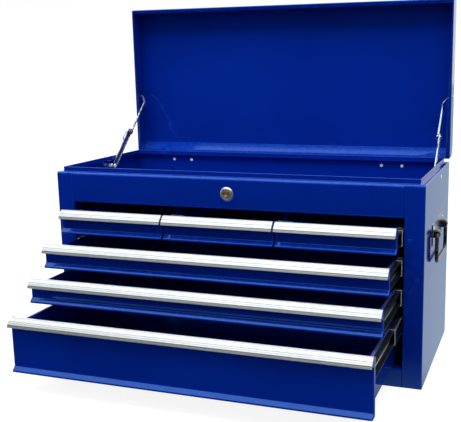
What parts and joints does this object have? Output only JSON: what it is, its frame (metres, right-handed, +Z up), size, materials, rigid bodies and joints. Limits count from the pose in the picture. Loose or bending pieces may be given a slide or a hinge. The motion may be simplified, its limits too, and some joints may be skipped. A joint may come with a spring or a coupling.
{
  "type": "portable tool chest",
  "caption": "Portable steel tool chest with a hinged lid over a top till, rows of sliding drawers on ball slides, lock and side handles.",
  "frame": {"origin": "centre of the flat underside of the cabinet", "axes": "+X to the right seen from the front, along the width; +Y to the back; +Z up"},
  "size_m": [0.6222, 0.4988, 0.572],
  "materials": {
    "blue_paint": "gloss",
    "pull_aluminium": "satin",
    "zinc_steel": "zinc plated",
    "bright_steel": "bright",
    "chrome": "polished",
    "brass": "satin",
    "black_coat": "gloss"
  },
  "bodies": {
    "cabinet": {"side_panel_left": "blue_paint", "side_panel_right": "blue_paint", "back_panel": "blue_paint", "bottom_panel": "blue_paint", "front_lock_panel": "blue_paint", "bottom_rail": "blue_paint", "till_floor": "blue_paint", "drawer_divider_left": "blue_paint", "drawer_divider_right": "blue_paint", "rear_slide_posts": "blue_paint", "cabinet_slide_rails": "zinc_steel", "cabinet_hinge_leaves": "zinc_steel", "hinge_pins": "bright_steel", "cabinet_rivets": "bright_steel", "stay_pivot_rivets": "bright_steel", "lock_housing": "chrome", "handle_plate_left": "zinc_steel", "handle_plate_right": "zinc_steel"},
    "lid": {"lid_shell": "blue_paint", "lid_hinge_leaves": "zinc_steel", "lid_rivets": "bright_steel"},
    "stay_arm_left": {"stay_arm_left": "zinc_steel"},
    "stay_arm_right": {"stay_arm_right": "zinc_steel"},
    "stay_rod_left": {"stay_rod_left": "zinc_steel"},
    "stay_rod_right": {"stay_rod_right": "zinc_steel"},
    "lock": {"lock_plug": "brass", "lock_cam": "zinc_steel"},
    "bail_left": {"handle_bail_left": "black_coat"},
    "bail_right": {"handle_bail_right": "black_coat"},
    "top_left_drawer": {"top_left_drawer_box": "blue_paint", "top_left_drawer_front": "blue_paint", "top_left_drawer_pull": "pull_aluminium", "top_left_drawer_runners": "zinc_steel"},
    "top_left_middles": {"top_left_slide_middles": "zinc_steel"},
    "top_centre_drawer": {"top_centre_drawer_box": "blue_paint", "top_centre_drawer_front": "blue_paint", "top_centre_drawer_pull": "pull_aluminium", "top_centre_drawer_runners": "zinc_steel"},
    "top_centre_middles": {"top_centre_slide_middles": "zinc_steel"},
    "top_right_drawer": {"top_right_drawer_box": "blue_paint", "top_right_drawer_front": "blue_paint", "top_right_drawer_pull": "pull_aluminium", "top_right_drawer_runners": "zinc_steel"},
    "top_right_middles": {"top_right_slide_middles": "zinc_steel"},
    "upper_drawer": {"upper_drawer_box": "blue_paint", "upper_drawer_front": "blue_paint", "upper_drawer_pull": "pull_aluminium", "upper_drawer_runners": "zinc_steel"},
    "upper_middles": {"upper_slide_middles": "zinc_steel"},
    "middle_drawer": {"middle_drawer_box": "blue_paint", "middle_drawer_front": "blue_paint", "middle_drawer_pull": "pull_aluminium", "middle_drawer_runners": "zinc_steel"},
    "middle_middles": {"middle_slide_middles": "zinc_steel"},
    "bottom_drawer": {"bottom_drawer_box": "blue_paint", "bottom_drawer_front": "blue_paint", "bottom_drawer_pull": "pull_aluminium", "bottom_drawer_runners": "zinc_steel"},
    "bottom_middles": {"bottom_slide_middles": "zinc_steel"}
  },
  "joints": [
    {"name": "lid_hinge", "type": "hinge", "parent": "cabinet", "child": "lid", "pos_m": [0, 0.1367, 0.3023], "axis": [1, 0, 0], "range_deg": [0, 90]},
    {"name": "stay_arm_pivot_left", "type": "hinge", "parent": "cabinet", "child": "stay_arm_left", "pos_m": [0, 0.028, 0.291], "axis": [1, 0, 0], "range_deg": [-51.23, 0]},
    {"name": "stay_rod_pivot_left", "type": "hinge", "parent": "lid", "child": "stay_rod_left", "pos_m": [0, 0.1552, 0.4103], "axis": [1, 0, 0], "range_deg": [0, 19.97]},
    {"name": "stay_arm_pivot_right", "type": "hinge", "parent": "cabinet", "child": "stay_arm_right", "pos_m": [0, 0.028, 0.291], "axis": [1, 0, 0], "range_deg": [-51.23, 0]},
    {"name": "stay_rod_pivot_right", "type": "hinge", "parent": "lid", "child": "stay_rod_right", "pos_m": [0, 0.1552, 0.4103], "axis": [1, 0, 0], "range_deg": [0, 19.97]},
    {"name": "lock_turn", "type": "hinge", "parent": "cabinet", "child": "lock", "pos_m": [0, -0.133, 0.277], "axis": [0, 1, 0], "range_deg": [0, 90]},
    {"name": "bail_swing_left", "type": "hinge", "parent": "cabinet", "child": "bail_left", "pos_m": [-0.3062, 0, 0.214], "axis": [0, 1, 0], "range_deg": [0, 90]},
    {"name": "bail_swing_right", "type": "hinge", "parent": "cabinet", "child": "bail_right", "pos_m": [0.3062, 0, 0.214], "axis": [0, -1, 0], "range_deg": [0, 90]},
    {"name": "top_left_drawer_slide", "type": "slide", "parent": "cabinet", "child": "top_left_drawer", "axis": [0, -1, 0], "range_m": [-0.04, 0.175]},
    {"name": "top_left_middle_slide", "type": "slide", "parent": "cabinet", "child": "top_left_middles", "axis": [0, -1, 0], "range_m": [-0.01005, 0.0438]},
    {"name": "top_centre_drawer_slide", "type": "slide", "parent": "cabinet", "child": "top_centre_drawer", "axis": [0, -1, 0], "range_m": [-0.04, 0.175]},
    {"name": "top_centre_middle_slide", "type": "slide", "parent": "cabinet", "child": "top_centre_middles", "axis": [0, -1, 0], "range_m": [-0.01005, 0.0438]},
    {"name": "top_right_drawer_slide", "type": "slide", "parent": "cabinet", "child": "top_right_drawer", "axis": [0, -1, 0], "range_m": [-0.04, 0.175]},
    {"name": "top_right_middle_slide", "type": "slide", "parent": "cabinet", "child": "top_right_middles", "axis": [0, -1, 0], "range_m": [-0.01005, 0.0438]},
    {"name": "upper_drawer_slide", "type": "slide", "parent": "cabinet", "child": "upper_drawer", "axis": [0, -1, 0], "range_m": [-0.089, 0.126]},
    {"name": "upper_middle_slide", "type": "slide", "parent": "cabinet", "child": "upper_middles", "axis": [0, -1, 0], "range_m": [-0.01005, 0.01421]},
    {"name": "middle_drawer_slide", "type": "slide", "parent": "cabinet", "child": "middle_drawer", "axis": [0, -1, 0], "range_m": [-0.129, 0.086]},
    {"name": "middle_middle_slide", "type": "slide", "parent": "cabinet", "child": "middle_middles", "axis": [0, -1, 0], "range_m": [-0.01005, 0.00672]},
    {"name": "bottom_drawer_slide", "type": "slide", "parent": "cabinet", "child": "bottom_drawer", "axis": [0, -1, 0], "range_m": [-0.181, 0.034]},
    {"name": "bottom_middle_slide", "type": "slide", "parent": "cabinet", "child": "bottom_middles", "axis": [0, -1, 0], "range_m": [-0.05505, 0.01038]}
  ],
  "couplings": [
    {"joint": "stay_arm_pivot_left", "follows": "lid_hinge", "ratio": -0.56868},
    {"joint": "stay_rod_pivot_left", "follows": "lid_hinge", "ratio": 0.2213},
    {"joint": "stay_arm_pivot_right", "follows": "lid_hinge", "ratio": -0.56868},
    {"joint": "stay_rod_pivot_right", "follows": "lid_hinge", "ratio": 0.2213},
    {"joint": "top_left_middle_slide", "follows": "top_left_drawer_slide", "ratio": 0.25},
    {"joint": "top_centre_middle_slide", "follows": "top_centre_drawer_slide", "ratio": 0.25},
    {"joint": "top_right_middle_slide", "follows": "top_right_drawer_slide", "ratio": 0.25},
    {"joint": "upper_middle_slide", "follows": "upper_drawer_slide", "ratio": 0.11236},
    {"joint": "middle_middle_slide", "follows": "middle_drawer_slide", "ratio": 0.07752},
    {"joint": "bottom_middle_slide", "follows": "bottom_drawer_slide", "ratio": 0.30387}
  ]
}
